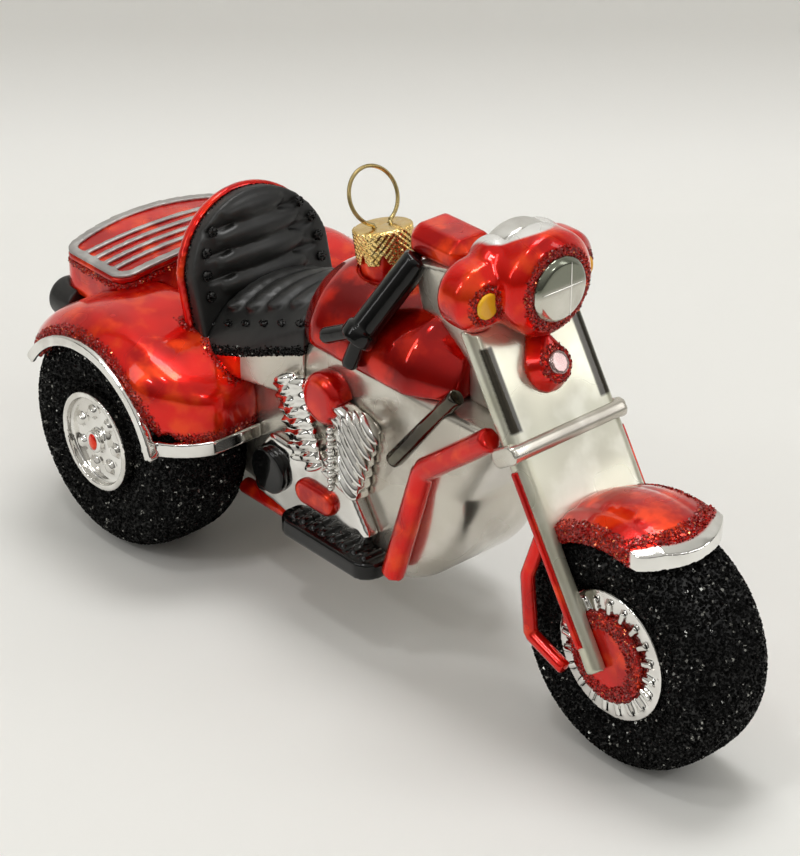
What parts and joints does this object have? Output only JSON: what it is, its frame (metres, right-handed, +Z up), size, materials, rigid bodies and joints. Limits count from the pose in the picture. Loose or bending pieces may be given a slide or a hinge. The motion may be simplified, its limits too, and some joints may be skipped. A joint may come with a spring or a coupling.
{
  "type": "glass motor trike ornament",
  "caption": "Silvered blown-glass tree ornament in the shape of a motor trike, lacquered and glittered, with a gold cap and wire loop that pull out of its neck.",
  "frame": {"origin": "on the floor, under the middle of the ornament's length and width", "axes": "+X forward towards the front wheel, +Y to the trike's left, +Z up"},
  "size_m": [0.1704, 0.0692, 0.0915],
  "materials": {
    "silvered_glass": "mirror-silvered blown glass",
    "red_lacquer": "translucent red lacquer over silvered glass",
    "black_glitter": "coarse black glitter over black paint",
    "satin_black": "satin black paint on glass",
    "gloss_black": "gloss black paint on glass",
    "yellow_paint": "yellow paint on glass",
    "gold_cap": "embossed gold sheet metal",
    "brass_wire": "drawn brass wire"
  },
  "bodies": {
    "trike": {"glass_body": "silvered_glass", "rear_wheel_right": "silvered_glass", "rear_wheel_left": "silvered_glass", "front_wheel": "silvered_glass", "fender_lips": "silvered_glass", "lid_ribs": "silvered_glass", "steering_head": "silvered_glass", "headlamp_dome": "silvered_glass", "headlamp_lens": "silvered_glass", "lower_lamp_lens": "silvered_glass", "fork": "silvered_glass", "fork_clamp": "silvered_glass", "front_fender_lip": "silvered_glass", "crankcase": "silvered_glass", "rear_cylinder": "silvered_glass", "front_cylinder": "silvered_glass", "downtubes": "silvered_glass", "rear_fender_right": "red_lacquer", "rear_fender_left": "red_lacquer", "trunk_box": "red_lacquer", "trunk_lid": "red_lacquer", "seat_shell": "red_lacquer", "fuel_tank": "red_lacquer", "cap_neck": "red_lacquer", "console": "red_lacquer", "lamp_nacelle": "red_lacquer", "lower_lamp": "red_lacquer", "fork_stays": "red_lacquer", "fork_stripes": "red_lacquer", "front_fender": "red_lacquer", "brake_discs": "red_lacquer", "air_cleaner": "red_lacquer", "cam_covers": "red_lacquer", "crash_bars": "red_lacquer", "lower_rails": "red_lacquer", "rear_tyre_right": "black_glitter", "rear_tyre_left": "black_glitter", "front_tyre": "black_glitter", "seat_cushion": "satin_black", "seat_back": "satin_black", "tail_pods": "satin_black", "handlebar_right": "gloss_black", "handlebar_left": "gloss_black", "clutch_covers": "gloss_black", "footboard_right": "gloss_black", "footboard_left": "gloss_black", "signal_lenses": "yellow_paint"},
    "hanger": {"hanger_cap": "gold_cap", "hanger_wire": "brass_wire"}
  },
  "joints": [
    {"name": "cap_pull", "type": "slide", "parent": "trike", "child": "hanger", "axis": [-0.2164, 0, 0.9763], "range_m": [0, 0.014]}
  ]
}
